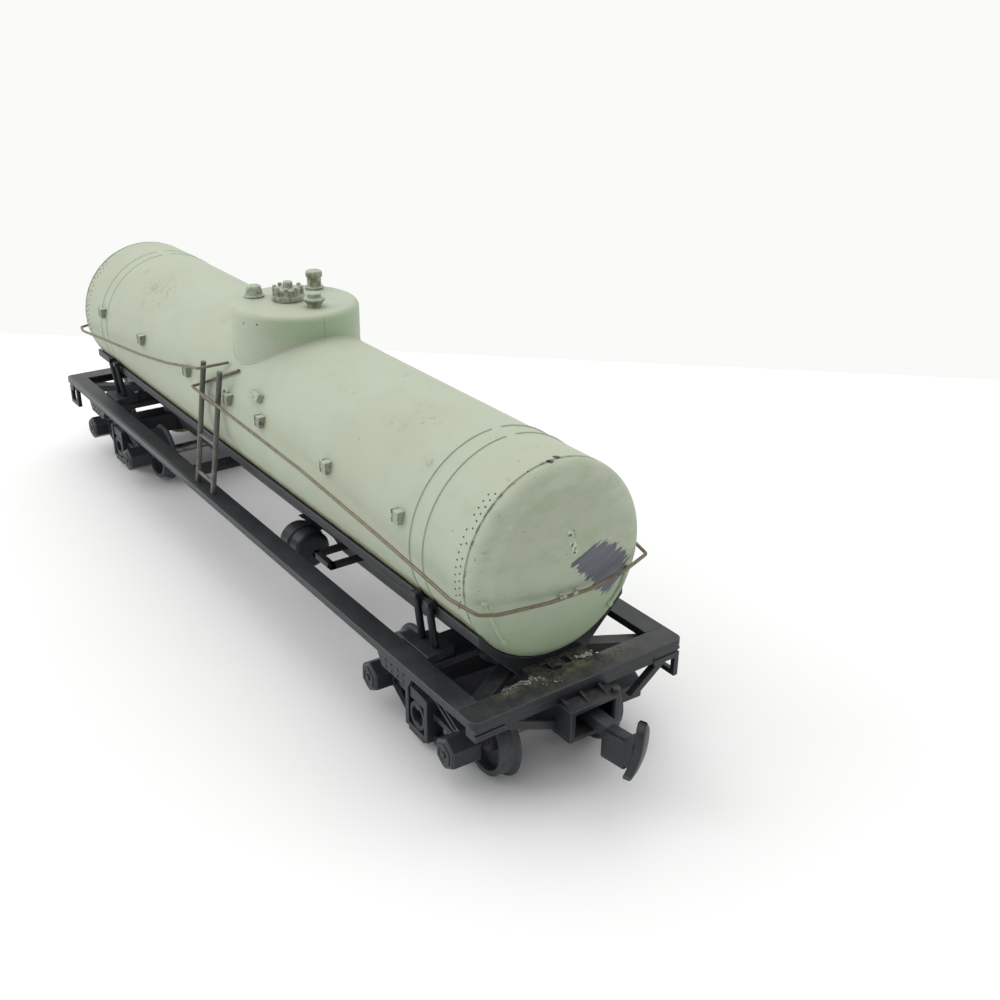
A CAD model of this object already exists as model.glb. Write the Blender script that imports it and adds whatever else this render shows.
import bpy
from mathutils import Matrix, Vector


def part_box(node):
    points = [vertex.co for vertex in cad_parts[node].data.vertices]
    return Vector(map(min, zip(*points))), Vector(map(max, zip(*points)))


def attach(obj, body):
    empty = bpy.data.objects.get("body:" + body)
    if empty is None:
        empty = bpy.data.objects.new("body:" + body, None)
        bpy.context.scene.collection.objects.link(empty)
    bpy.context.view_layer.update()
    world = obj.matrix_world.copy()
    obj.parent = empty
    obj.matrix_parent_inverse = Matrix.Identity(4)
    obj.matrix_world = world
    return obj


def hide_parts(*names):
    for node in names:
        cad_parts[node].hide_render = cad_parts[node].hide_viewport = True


bl_info = {
    "name": "Scale model tank car",
    "version": (1, 0, 0),
    "blender": (4, 5, 0),
    "location": "3D View > Sidebar > Tank Car",
    "description": "Finishes a 1:87 model tank car: painted tank, wires, ladders, frame, trucks, stage",
    "category": "Object",
}

import math
import random

import bpy
from bpy.props import FloatProperty, FloatVectorProperty, PointerProperty
from mathutils import Matrix, Vector

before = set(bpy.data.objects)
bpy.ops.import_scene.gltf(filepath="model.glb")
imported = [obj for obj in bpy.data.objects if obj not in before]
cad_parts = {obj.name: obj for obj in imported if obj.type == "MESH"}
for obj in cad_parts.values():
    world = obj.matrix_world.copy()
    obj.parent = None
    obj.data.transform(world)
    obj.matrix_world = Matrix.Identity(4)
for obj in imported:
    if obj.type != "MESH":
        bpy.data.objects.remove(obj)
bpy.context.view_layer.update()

MM = 0.001
X, Y, Z = Vector((1, 0, 0)), Vector((0, 1, 0)), Vector((0, 0, 1))

# ---- places read from the frame, in millimetres ----
def low(node):
    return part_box(node)[0] / MM


def high(node):
    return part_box(node)[1] / MM


TANK_R = (high("tank_barrel").z - low("tank_barrel").z) / 2
TANK_Z = (high("tank_barrel").z + low("tank_barrel").z) / 2
TANK_END = high("tank_barrel").x
HEAD_END = high("tank_heads").x
DOME_R = high("dome").y
DOME_TOP = high("dome").z
BOARD_TOP = high("side_boards").z
FRAME_END = high("end_boards").x
CRADLE_TOP = high("tank_cradle").z


# ------------------------------------------------------------------ settings
def length(name, description, default):
    """A size in millimetres, kept in metres as every length here."""
    return FloatProperty(name=name, description=description, default=default * MM, unit="LENGTH",
                         precision=5)


def colour(name, description, default):
    """A colour given as its 0 to 255 screen values, kept linear."""
    return FloatVectorProperty(name=name, description=description, size=3, subtype="COLOR",
                               default=[linear(v) for v in default], min=0, max=1)


def linear(value):
    share = value / 255
    return share / 12.92 if share <= 0.04045 else ((share + 0.055) / 1.055) ** 2.4


def shade(tone, *shares):
    """A colour made lighter or darker, by one share or by one for each channel."""
    return [c * share for c, share in zip(tone, shares * 3 if len(shares) == 1 else shares)]


class TankSettings(bpy.types.PropertyGroup):
    paint: colour("Paint", "The tank's pale green paint", (171, 180, 161))
    paint_worn: colour("Worn paint", "Yellowed, handled paint", (166, 168, 147))
    dirt: colour("Dirt", "Brown stains on the paint", (142, 132, 108))
    grime: colour("Olive grime", "Worn, greasy paint above the cradle", (124, 124, 88))
    bare: colour("Bare plastic", "Dark plastic where the paint is gone", (44, 47, 43))
    marker: colour("Pen smear", "Grey pen scribble on the front head", (84, 88, 100))
    band_width: length("Band width", "Width of a moulded tank band", 0.3)
    band_thick: length("Band thickness", "How far a band stands out of the tank", 0.16)
    seam_width: length("Head seam width", "Groove between barrel and head", 0.26)
    seam_depth: length("Head seam depth", "Depth of that groove", 0.16)
    knuckle: length("Head knuckle", "Radius of a head's rounded rim", 2.6)
    rivet: length("Rivet radius", "Radius of a rivet beside a head", 0.13)
    rivet_step: length("Rivet spacing", "Spacing along a row of rivets", 1.0)


class WireSettings(bpy.types.PropertyGroup):
    radius: length("Wire radius", "Radius of the handrail wire", 0.25)
    bend: length("Bend", "How far a bend reaches along each run of the wire", 1.1)
    brown: colour("Wire", "Tarnished brown wire", (110, 101, 80))
    rust: colour("Rust", "Rust on the wire", (84, 73, 55))
    ladder: colour("Ladder", "Ladder plastic under worn paint", (88, 89, 82))
    ladder_bloom: colour("Ladder bloom", "Grey bloom on the ladder's lower part", (126, 128, 119))


class FrameSettings(bpy.types.PropertyGroup):
    plastic: colour("Plastic", "Black plastic of the frame", (27, 30, 35))
    edge: colour("Rubbed edges", "Where handling has rubbed the plastic grey", (54, 57, 63))
    dust: colour("Dust", "Grey dust on top faces", (80, 82, 85))
    mud: colour("Old glue and grime", "Brown grime on the end boards", (98, 94, 80))


class TruckSettings(bpy.types.PropertyGroup):
    plastic: colour("Plastic", "Black plastic of the trucks", (38, 41, 46))
    edge: colour("Rubbed edges", "Rubbed edges of the trucks", (54, 58, 65))
    wheel: colour("Wheels", "Black wheels", (46, 49, 55))
    tread: colour("Tread", "Wheel tread polished and dirtied by the rails", (72, 73, 76))
    steel: colour("Axle steel", "Bare steel of the axles", (150, 148, 142))
    bevel: length("Edge rounding", "Rounding of moulded edges", 0.12)


class StageSettings(bpy.types.PropertyGroup):
    floor: colour("Floor", "White table", (243, 244, 244))
    wall: colour("Wall", "Pale wall behind the table", (251, 252, 249))
    light: FloatProperty(name="Main light", description="Power of the main soft light", default=8.6,
                         min=0, unit="POWER")
    sky: FloatProperty(name="Room light", description="Strength of the room's even light", default=0.43,
                       min=0)


SETTINGS = {"tank": TankSettings, "wire": WireSettings, "underframe": FrameSettings,
            "truck": TruckSettings, "stage": StageSettings}


def settings(group):
    return getattr(bpy.context.scene, "tank_car_" + group)


# ------------------------------------------------------------------ shader expressions
class Socket:
    """One output of a node tree. Arithmetic on it adds Math nodes."""

    def __init__(self, finish, socket):
        self.finish = finish
        self.socket = socket

    def math(self, operation, *others, clamp=False):
        values = dict(enumerate((self,) + others))
        return self.finish.node("ShaderNodeMath", {"operation": operation, "use_clamp": clamp}, values)

    def __add__(self, other):
        return self.math("ADD", other)

    def __sub__(self, other):
        return self.math("SUBTRACT", other)

    def __mul__(self, other):
        return self.math("MULTIPLY", other)

    def __truediv__(self, other):
        return self.math("DIVIDE", other)

    def __rsub__(self, other):
        return (self * -1) + other

    __radd__ = __add__
    __rmul__ = __mul__

    def above(self, other):
        return self.math("GREATER_THAN", other)

    def below(self, other):
        return self.math("LESS_THAN", other)

    def size(self):
        return self.math("ABSOLUTE")

    def smaller(self, other):
        return self.math("MINIMUM", other)

    def ramp(self, start, end):
        """0 up to start, 1 from end on, smooth in between; start may lie above end."""
        flip = start > end
        first, last = min(start, end), max(start, end)
        values = {0: self, 1: first, 2: last, 3: 1.0 if flip else 0.0, 4: 0.0 if flip else 1.0}
        return self.finish.node("ShaderNodeMapRange", {"interpolation_type": "SMOOTHSTEP"}, values)


class Finish:
    """A material under construction. Places are in millimetres in the part's own frame."""

    def __init__(self, name):
        self.material = bpy.data.materials.new(name)
        self.material.use_nodes = True
        self.tree = self.material.node_tree
        self.tree.nodes.clear()
        texture = self.tree.nodes.new("ShaderNodeTexCoord")
        place = Socket(self, texture.outputs["Object"])
        self.at = self.node("ShaderNodeVectorMath", {"operation": "SCALE"}, {0: place, 3: 1 / MM})
        split = self.tree.nodes.new("ShaderNodeSeparateXYZ")
        self.tree.links.new(self.at.socket, split.inputs[0])
        self.x, self.y, self.z = (Socket(self, out) for out in split.outputs)
        geometry = self.tree.nodes.new("ShaderNodeNewGeometry")
        facing = self.tree.nodes.new("ShaderNodeSeparateXYZ")
        self.tree.links.new(geometry.outputs["Normal"], facing.inputs[0])
        self.facing = [Socket(self, out) for out in facing.outputs]

    def node(self, kind, options=None, values=None, out=0):
        """Any node: its options are set first, then each socket gets its value or its link."""
        node = self.tree.nodes.new(kind)
        for key, value in (options or {}).items():
            setattr(node, key, value)
        for key, value in (values or {}).items():
            socket = node.inputs[key]
            if isinstance(value, Socket):
                self.tree.links.new(value.socket, socket)
            elif hasattr(value, "__len__") and len(value) == 3 and socket.type == "RGBA":
                socket.default_value = (*value, 1)
            else:
                socket.default_value = value
        return Socket(self, node.outputs[out])

    def noise(self, scale, detail=3.0, rough=0.5, at=None):
        """Noise from 0 to 1; scale is in features per millimetre."""
        values = {"Vector": at or self.at, "Scale": scale, "Detail": detail, "Roughness": rough}
        return self.node("ShaderNodeTexNoise", {"noise_dimensions": "3D"}, values)

    def specks(self, scale, radius, share):
        """1 inside small round specks, in a share of the cells; radius is in cells."""
        values = {"Vector": self.at, "Scale": scale}
        distance = self.node("ShaderNodeTexVoronoi", {}, values, out="Distance")
        cell = Socket(self, distance.socket.node.outputs["Color"])
        near = distance.ramp(radius * 1.25, radius * 0.8)
        return near * self.node("ShaderNodeSeparateColor", {}, {0: cell}).below(share)

    def stretched(self, along):
        """The place, scaled differently along each axis."""
        return self.node("ShaderNodeVectorMath", {"operation": "MULTIPLY"}, {0: self.at, 1: along})

    def place(self, x, y, z):
        return self.node("ShaderNodeCombineXYZ", {}, {0: x, 1: y, 2: z})

    def mix(self, first, second, amount):
        """One colour into another."""
        options = {"data_type": "RGBA", "blend_type": "MIX"}
        return self.node("ShaderNodeMix", options, {0: amount, 6: first, 7: second}, out=2)

    def bump(self, height, strength, distance):
        """A bump of a height in 0 to 1 over a distance in millimetres."""
        values = {"Height": height, "Strength": strength, "Distance": distance * MM}
        return self.node("ShaderNodeBump", {}, values)

    def over(self, tone, amount):
        """Lays a colour over the finish's own, base, by an amount from 0 to 1."""
        self.base = self.mix(self.base, tone, amount)

    def surface(self, roughness, normal, metallic=0.0, specular=0.5):
        values = {"Base Color": self.base, "Roughness": roughness, "Metallic": metallic,
                  "Specular IOR Level": specular, "Normal": normal}
        return self.finished(self.node("ShaderNodeBsdfPrincipled", {}, values))

    def finished(self, shader):
        out = self.tree.nodes.new("ShaderNodeOutputMaterial")
        self.tree.links.new(shader.socket, out.inputs[0])
        return self.material


MATERIALS = {}


# ------------------------------------------------------------------ paint and plastic
# the pen scribble on the front head: its corners (y, z) in turn, seen from the front with +y to the right
SMEAR_CORNERS = ((0.24, 30.8), (3.85, 32.5), (6.95, 31.9), (10.7, 28.3), (9.2, 25.7), (7.3, 24.0),
                 (6.0, 24.4), (2.5, 28.2))
SMEAR_LEAN = 24.0             # degrees its strokes rise towards +y
FITTING = ((-0.1, 35.5), (0.6, 32.0))           # both ends of a lost fitting's mark on that head, (y, z)
GRIME_RISE = 3.0              # height of the worn strip of paint above the cradle
# places on the tank and dome with their radius: dark nicks through the paint, and brown stains
NICKS = (
    ((68.9, -1.0, 43.8), 0.8), ((68.4, 0.35, 43.8), 0.75), ((63.8, -1.4, 43.7), 0.17),
    ((64.6, 0.5, 43.8), 0.15), ((68.7, -4.2, 43.1), 0.2), ((66.0, -3.6, 43.3), 0.14),
    ((71.1, 4.2, 41.9), 0.16), ((70.9, -12.1, 35.6), 0.22), ((2.1, -10.2, 45.9), 0.35),
    ((4.9, -9.2, 46.2), 0.3), ((-1.2, -13.1, 34.0), 0.7),
)
STAINS = (
    ((67.4, -6.6, 42.1), 1.1), ((54.0, -9.1, 40.3), 1.9), ((47.6, -4.6, 43.0), 2.6),
    ((-40.3, -7.9, 41.3), 7.0), ((70.9, -9.9, 39.4), 1.2), ((71.0, -12.2, 35.2), 1.2),
    ((71.1, -12.4, 28.4), 0.9), ((30.0, -6.0, 42.4), 2.4),
)
# the top of the -Y side's paler strip: one place on it, (x, z), and its fall for each millimetre forward
FADED_TOP = (33.5, 32.1)
FADED_FALL = 0.115


def nearest(distances):
    """The smallest of several distances."""
    least = distances[0]
    for distance in distances[1:]:
        least = least.smaller(distance)
    return least


def inside(f, corners):
    """How far inside a convex outline of (y, z) corners a place is, in millimetres."""
    depths = []
    for (y0, z0), (y1, z1) in zip(corners, corners[1:] + corners[:1]):
        size = math.hypot(y1 - y0, z1 - z0)
        ny, nz = (z1 - z0) / size, -(y1 - y0) / size
        depths.append(f.y * ny + f.z * nz - (y0 * ny + z0 * nz))
    return nearest(depths)


def hypotenuse(first, second):
    return (first * first + second * second).math("SQRT")


def near_places(f, places):
    """1 in the middle of the nearest of some round places, 0 at its edge."""
    options = {"operation": "DISTANCE"}
    return 1 - nearest([f.node("ShaderNodeVectorMath", options, {0: f.at, 1: place}, out="Value") / radius
                        for place, radius in places])


def handling_stains(f, look, cloud):
    """Brown stains on the upper half in patches, and at the chosen places."""
    upper = f.facing[2].ramp(0.1, 0.8)
    stain = f.noise(0.13, 6, 0.62).ramp(0.58, 0.74) * cloud.ramp(0.42, 0.62) * (upper * 0.5 + 0.2)
    f.over(look.dirt, stain * 0.5)
    blot = near_places(f, STAINS).ramp(0.0, 0.8) * f.noise(0.9, 6, 0.7).ramp(0.47, 0.66)
    f.over(look.dirt, blot * 0.8)


def faded_strip(f, look):
    """A paler strip along the -Y side under a faint slanting line, and pale scuffs everywhere."""
    under = f.z - (FADED_TOP[1] + FADED_TOP[0] * FADED_FALL) + f.x * FADED_FALL
    along_side = f.y.below(0) * f.x.ramp(5, 12) * f.x.ramp(TANK_END - 3, TANK_END - 6)
    pale = under.ramp(0.1, -0.1) * under.ramp(-2.6, -1.2) * along_side
    f.over(shade(look.paint_worn, 1.14), pale * 0.55)
    f.over(shade(look.paint, 0.7), (under - 0.1).size().ramp(0.12, 0.02) * along_side * 0.35)
    scuff = f.noise(0.5, 8, 0.75, f.stretched((0.5, 1.0, 1.3))).ramp(0.63, 0.74)
    f.over(look.paint_worn, scuff * 0.4)


def fine_specks(f, look):
    """Dark specks, thicker towards the ends and the lower sides, and a few brown ones."""
    near_end = (f.x.size() - (TANK_END - 14)).ramp(0, 12)
    lower = (f.z - (TANK_Z - 3)).ramp(2, -7)
    crowd = (near_end * 0.4 + lower * 0.35 + 0.2) * f.noise(0.2, 2).ramp(0.35, 0.6)
    speck = f.specks(1.3, 0.1, 0.5) * f.noise(0.8, 2).ramp(0.5, 0.6) * crowd.ramp(0.05, 0.35)
    f.over(look.bare, speck * 0.8)
    f.over(look.dirt, f.specks(0.7, 0.11, 0.4) * f.noise(0.3, 3).ramp(0.48, 0.6) * 0.7)


def cradle_wear(f, look, wear):
    """The worn, greasy strip where the barrel meets its cradle. Gives where its paint is gone."""
    rise = f.z - CRADLE_TOP
    barrel = (f.x.size() - (TANK_END - 0.4)).ramp(0.1, -0.1)
    greasy = (rise.ramp(GRIME_RISE, 0.2) * 0.9 + (wear - 0.5) * 1.2).ramp(0.2, 0.8) * barrel
    f.over(look.grime, greasy * 0.85)
    peppered = f.specks(2.4, 0.2, 0.55) * rise.ramp(2.4, 0.8) * f.noise(0.5, 3).ramp(0.42, 0.56) * barrel
    f.over(look.bare, peppered * 0.8)
    gone = (rise.ramp(1.1, 0.0) + (wear - 0.5) * 2.4).ramp(0.7, 0.95) * rise.ramp(2.0, 1.1) * barrel
    f.over(look.bare, gone * 0.8)
    return gone


def head_wear(f, look):
    """Grime in the head seams, chips along the rims, a lighter knuckle and a greener, smudged belly."""
    seam = (f.x.size() - TANK_END).size().ramp(0.5, 0.1)
    f.over(look.bare, seam * (0.16 + f.noise(0.8, 4).ramp(0.5, 0.62) * 0.4))
    head = f.x.size().above(TANK_END + 0.3)
    reach = hypotenuse(f.y, f.z - TANK_Z)
    rim = (reach - (TANK_R - 0.7)).size().ramp(0.9, 0.2) * head
    f.over(look.bare, rim * f.noise(1.3, 5, 0.7).ramp(0.66, 0.7) * 0.8)
    knuckle = (reach - (TANK_R - 1.9)).size().ramp(1.3, 0.2) * head
    f.over(shade(look.paint, 1.12), knuckle * 0.5)
    belly = (f.z - (TANK_Z - 1)).ramp(1, -9) * head
    f.over(shade(look.paint, 0.72, 0.84, 0.68), belly * 0.75)
    smudge = f.noise(0.3, 6, 0.65, f.stretched((1.0, 0.7, 1.5))).ramp(0.42, 0.7) * head
    f.over(shade(look.paint, 0.72, 0.82, 0.7), smudge * 0.6)


def pen_scribble(f, look):
    """Strokes side by side on the front head, ragged where they end. Gives where they are."""
    lean = math.radians(SMEAR_LEAN)
    along = f.y * math.cos(lean) + f.z * math.sin(lean)
    across = f.z * math.cos(lean) - f.y * math.sin(lean)
    stroke = f.noise(1.0, 3, 0.55, f.place(along * 0.12, across * 2.1, 0.0))
    hair = f.noise(1.0, 3, 0.6, f.place(along * 0.3, across * 6.5, 3.0))
    smear = (inside(f, SMEAR_CORNERS) + (stroke - 0.5) * 3.6 + (hair - 0.5) * 1.0).ramp(-0.05, 0.12)
    smear = smear * f.x.above(TANK_END + 0.6)
    ink = f.mix(look.marker, shade(look.marker, 0.62), stroke.ramp(0.45, 0.7))
    ink = f.mix(ink, shade(look.marker, 1.5), hair.ramp(0.55, 0.75) * 0.5)
    f.over(ink, smear * 0.93)
    return smear


def fitting_mark(f, look):
    """The mark that a lost fitting left on the front head. Gives where the paint is torn."""
    (top_y, top_z), (foot_y, foot_z) = FITTING
    slope = (foot_y - top_y) / (foot_z - top_z)
    off_line = f.y - top_y - (f.z - top_z) * slope
    middle_z, half = (top_z + foot_z) / 2, (top_z - foot_z) / 2
    mark = off_line.size().ramp(0.8, 0.2) * (f.z - middle_z).size().ramp(half + 0.3, half - 0.4)
    mark = mark * f.x.above(TANK_END + 1)
    torn = mark * f.noise(1.7, 4, 0.65).ramp(0.5, 0.56)
    f.over(shade(look.paint, 1.35), mark * f.noise(1.1, 3).ramp(0.52, 0.46) * 0.9)
    f.over(shade(look.bare, 0.6), torn * 0.95)
    return torn


def dome_wall(f, look):
    """The dome's greener front wall with its mould seam."""
    out = hypotenuse(f.x, f.y)
    on_dome = out.above(DOME_R - 0.25) * out.below(DOME_R + 0.2) * f.z.above(TANK_Z + TANK_R + 0.2)
    front_wall = f.facing[0].ramp(0.35, 0.9) * on_dome
    f.over(shade(look.paint, 0.78, 0.98, 0.74), front_wall * 0.6)
    f.over(shade(look.paint, 0.55), (f.y + 0.25).size().ramp(0.16, 0.03) * front_wall * 0.6)


def paint_tank():
    look = settings("tank")
    f = Finish("tank_paint")
    cloud = f.noise(0.35, 5, 0.6)
    wear = f.noise(1.1, 7, 0.7, f.stretched((0.45, 1, 1.5)))
    f.base = look.paint
    f.over(look.paint_worn, f.noise(0.045, 3).ramp(0.4, 0.7) * 0.5)
    f.over(shade(look.paint, 0.93), f.noise(0.16, 5, 0.6).ramp(0.45, 0.66) * 0.6)
    handling_stains(f, look, cloud)
    faded_strip(f, look)
    fine_specks(f, look)
    gone = cradle_wear(f, look, wear)
    head_wear(f, look)
    smear = pen_scribble(f, look)
    torn = fitting_mark(f, look)
    near_nick = near_places(f, NICKS)
    nick = (near_nick + (wear - 0.5) * 1.6).ramp(0.35, 0.5) * near_nick.above(0)
    f.over(shade(look.bare, 0.6), nick * 0.95)
    dome_wall(f, look)
    rough = 0.5 + cloud * 0.12 - smear * 0.1
    height = f.noise(3.0, 4, 0.6) * 0.3 + cloud * 0.7 - gone * 0.5 - torn * 0.6
    MATERIALS["tank_paint"] = f.surface(rough, f.bump(height, 0.3, 0.1), specular=0.36)


BRACKET_X = (-58.0, -37.0, -15.5, 1.3, 13.0, 34.2, 53.6)        # brackets of the -Y side
BRACKET_HALF = 0.62


def paint_brackets():
    """The side mouldings: the same paint, chipped to dark plastic on the ends that face back."""
    look = settings("tank")
    f = Finish("bracket_paint")
    cloud = f.noise(0.8, 4, 0.6)
    f.base = look.paint
    f.over(look.paint_worn, cloud.ramp(0.4, 0.7) * 0.5)
    back = f.facing[0].ramp(-0.35, -0.8)
    front = f.facing[0].ramp(0.5, 0.9)
    forward = f.x * f.y.math("SIGN") * -1
    edge = nearest([(forward - (x - BRACKET_HALF)).size() for x in BRACKET_X]).ramp(0.5, 0.15)
    chip = back * f.noise(1.4, 5, 0.7).ramp(0.38, 0.5) + front * f.noise(1.6, 5, 0.7).ramp(0.55, 0.62)
    chip = chip + edge * f.noise(1.7, 4, 0.7).ramp(0.44, 0.5)
    shadow = f.facing[2].ramp(0.75, 0.1) * (forward.ramp(28, 4) * 0.4 + 0.42)
    f.over(shade(look.paint, 0.5), shadow)
    f.over(look.bare, chip.smaller(1.0) * 0.9)
    below = f.facing[2].ramp(-0.2, -0.8)
    f.over(look.grime, below * 0.7)
    MATERIALS["bracket"] = f.surface(0.52, f.bump(cloud, 0.3, 0.08), specular=0.36)


def paint_fittings():
    """The dome's fittings: the same paint, gone dark and gritty in their corners."""
    look = settings("tank")
    f = Finish("fitting_paint")
    grit = f.noise(1.6, 5, 0.7)
    f.base = shade(look.paint, 0.92)
    f.over(shade(look.paint, 0.48), grit.ramp(0.47, 0.7))
    greasy = f.facing[2].ramp(0.55, 0.0) * f.noise(0.9, 4).ramp(0.4, 0.6)
    f.over(shade(look.grime, 0.55), greasy * 0.6)
    f.over(look.bare, f.specks(2.6, 0.2, 0.4) * 0.7)
    MATERIALS["fitting"] = f.surface(0.52, f.bump(grit, 0.4, 0.1), specular=0.36)


def paint_bare():
    """Dark plastic showing where the green paint has chipped off."""
    look = settings("tank")
    f = Finish("chipped_plastic")
    f.base = look.bare
    f.over(shade(look.bare, 0.55), f.noise(2.0, 4).ramp(0.4, 0.6))
    MATERIALS["chipped"] = f.surface(f.noise(1.5, 3) * 0.2 + 0.45, f.bump(f.noise(4.0, 4), 0.4, 0.08))


RUBBED_FROM = 16.7            # the boards' outer edge is rubbed pale towards one end
RUBBED_ABOVE = 15.0
SLOT = (72.15, -1.0)          # a dark oval sink mark in the front end board
SLOT_HALF = (0.42, 0.8)


def black_plastic(name, plastic, edge, dust, dustiness, lightness=0.0, grime=None):
    """Moulded black plastic, dusty on its top faces. The edge version is rubbed lighter and smoother."""
    f = Finish(name)
    cloud = f.noise(0.22, 5, 0.6)
    fine = f.noise(2.4, 5, 0.65)
    grain = f.noise(9.0, 3, 0.6)
    f.base = plastic
    f.over(edge, cloud.ramp(0.35, 0.75) * 0.3 + fine.ramp(0.5, 0.8) * 0.15 + lightness)
    top = f.facing[2].ramp(0.45, 0.95)
    ends = (f.x.size() - (FRAME_END - 9)).ramp(0, 5)
    film = top * (cloud * 0.5 + fine * 0.6).ramp(0.3, 0.85) * dustiness
    lint = f.specks(2.6, 0.12, 0.5) * top * f.noise(0.35, 3).ramp(0.5, 0.62)
    f.over(dust, (film + lint * 0.35).smaller(1.0))
    rubbed = (f.y.size() - RUBBED_FROM).ramp(0.0, 0.35) * (f.z - RUBBED_ABOVE).ramp(0.0, 0.3)
    f.over(shade(dust, 1.15), rubbed * f.x.ramp(0.0, -30.0) * (fine * 0.6 + 0.5))
    if grime is not None:
        crust = (f.noise(0.3, 6, 0.66) * 0.6 + f.noise(2.2, 6, 0.75) * 0.4).ramp(0.42, 0.6)
        inner = (f.x.size() - (FRAME_END - 2.4)).ramp(1.0, -0.8)
        middle = (f.y.size() - 9.5).ramp(4.0, -2.0)
        f.over(grime, ends * top * crust * (inner * middle * 0.9 + middle * 0.25 + 0.1))
        sand = f.specks(5.0, 0.27, 0.5) * f.noise(0.6, 3).ramp(0.42, 0.56) * ends * top
        f.over(shade(grime, 1.8), sand * (inner * middle * 0.8 + 0.2))
        crumb = f.specks(3.4, 0.2, 0.6) * f.noise(0.5, 3).ramp(0.5, 0.6) * ends * top
        f.over(shade(grime, 0.35), crumb * 0.8)
        slot_x, slot_y = (f.x - SLOT[0]) / SLOT_HALF[0], (f.y - SLOT[1]) / SLOT_HALF[1]
        slot = (slot_x * slot_x + slot_y * slot_y).ramp(1.15, 0.85) * top
        f.over(shade(plastic, 0.25), slot)
    scratch = f.noise(1.0, 2, 0.5, f.stretched((0.25, 5.0, 5.0))).ramp(0.7, 0.75)
    f.over(edge, scratch * 0.2)
    rough = 0.36 + fine * 0.14 + film * 0.3
    height = grain * 0.3 + fine * 0.7
    return f.surface(rough, f.bump(height, 0.25, 0.06), specular=0.42)


def paint_plastics():
    body = settings("underframe")
    truck = settings("truck")
    dust, grime = list(body.dust), list(body.mud)
    plastic, edge = list(body.plastic), list(body.edge)
    truck_plastic, truck_edge = list(truck.plastic), list(truck.edge)
    MATERIALS["frame"] = black_plastic("frame_plastic", plastic, edge, dust, 0.22, 0.0, grime)
    MATERIALS["frame_edge"] = black_plastic("frame_plastic_edge", edge, shade(edge, 1.3), dust, 0.6)
    MATERIALS["truck"] = black_plastic("truck_plastic", truck_plastic, truck_edge, dust, 0.3)
    MATERIALS["truck_edge"] = black_plastic("truck_plastic_edge", truck_edge, shade(truck_edge, 1.4),
                                            dust, 0.3)
    MATERIALS["coupler"] = black_plastic("coupler_plastic", plastic, truck_edge, dust, 0.25, 0.15)
    MATERIALS["coupler_edge"] = black_plastic("coupler_plastic_edge", shade(edge, 1.5),
                                              shade(edge, 2.2), dust, 0.3)


def paint_wheels():
    look = settings("truck")
    f = Finish("wheel_plastic")
    grime = f.noise(0.9, 5, 0.65)
    f.base = look.wheel
    f.over(look.edge, grime.ramp(0.45, 0.75) * 0.45)
    # the tread and the flange's root are rubbed by the rails
    sideways = f.facing[1].size()
    tread = sideways.ramp(0.5, 0.15) * f.noise(1.2, 3, 0.6, f.stretched((0.6, 3, 0.6))).ramp(0.3, 0.65)
    f.over(look.tread, tread * 0.35)
    MATERIALS["wheel"] = f.surface(0.5 - tread * 0.16, f.bump(grime, 0.25, 0.06), specular=0.5)
    steel = Finish("axle_steel")
    dull = steel.noise(1.6, 5, 0.6)
    steel.base = look.steel
    steel.over(look.tread, dull.ramp(0.4, 0.7))
    turned = steel.noise(1.0, 2, 0.5, steel.stretched((0.3, 14.0, 0.3)))
    MATERIALS["steel"] = steel.surface(0.3 + dull * 0.2, steel.bump(turned, 0.25, 0.03), metallic=0.9)
    pin = Finish("pin_metal")
    tarnish = pin.noise(2.2, 4, 0.6)
    pin.base = (0.42, 0.34, 0.2)
    pin.over((0.1, 0.08, 0.06), tarnish.ramp(0.4, 0.7))
    MATERIALS["pin"] = pin.surface(0.35 + tarnish * 0.2, pin.bump(tarnish, 0.3, 0.03), metallic=0.85)


def paint_wires():
    look = settings("wire")
    f = Finish("wire_metal")
    tarnish = f.noise(0.7, 5, 0.65)
    fine = f.noise(6.0, 3, 0.6)
    f.base = look.brown
    f.over(look.rust, tarnish.ramp(0.42, 0.66) * 0.75)
    splash = f.specks(1.2, 0.2, 0.2) * f.noise(0.3, 2).ramp(0.5, 0.6)
    f.over(settings("tank").paint, splash * 0.8)
    pit = f.specks(1.6, 0.22, 0.25) * f.noise(0.4, 2).ramp(0.5, 0.6)
    f.over(shade(look.rust, 0.3), pit)
    MATERIALS["wire"] = f.surface(0.32 + fine * 0.2, f.bump(fine, 0.4, 0.03), 0.35, 0.6)
    ladder = Finish("ladder_plastic")
    rise = (ladder.z - (BOARD_TOP + 8)).ramp(8, -6)
    patch = ladder.noise(0.7, 5, 0.65)
    ladder.base = look.ladder
    ladder.over(look.ladder_bloom, rise * patch.ramp(0.42, 0.6) * 0.6)
    ladder.over(shade(look.ladder, 0.45), ladder.noise(1.4, 4).ramp(0.55, 0.7) * 0.7)
    MATERIALS["ladder"] = ladder.surface(0.5 + patch * 0.15, ladder.bump(patch, 0.3, 0.05))


def paint_glue():
    """Dried glue: a milky, slightly clear crust."""
    f = Finish("dried_glue")
    cloud = f.noise(1.6, 5, 0.6)
    f.base = (0.2, 0.19, 0.15)
    f.over((0.42, 0.4, 0.34), cloud.ramp(0.4, 0.65))
    f.over((0.09, 0.08, 0.06), f.noise(0.9, 4, 0.6).ramp(0.55, 0.7) * 0.6)
    MATERIALS["glue"] = f.surface(0.3 + cloud * 0.25, f.bump(cloud, 0.6, 0.12), specular=0.6)


# ------------------------------------------------------------------ modelling helpers
def deselect():
    if bpy.context.object and bpy.context.object.mode != "OBJECT":
        bpy.ops.object.mode_set(mode="OBJECT")
    bpy.ops.object.select_all(action="DESELECT")


def add(kind, **values):
    deselect()
    getattr(bpy.ops.mesh, "primitive_" + kind + "_add")(**values)
    return bpy.context.object


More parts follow.
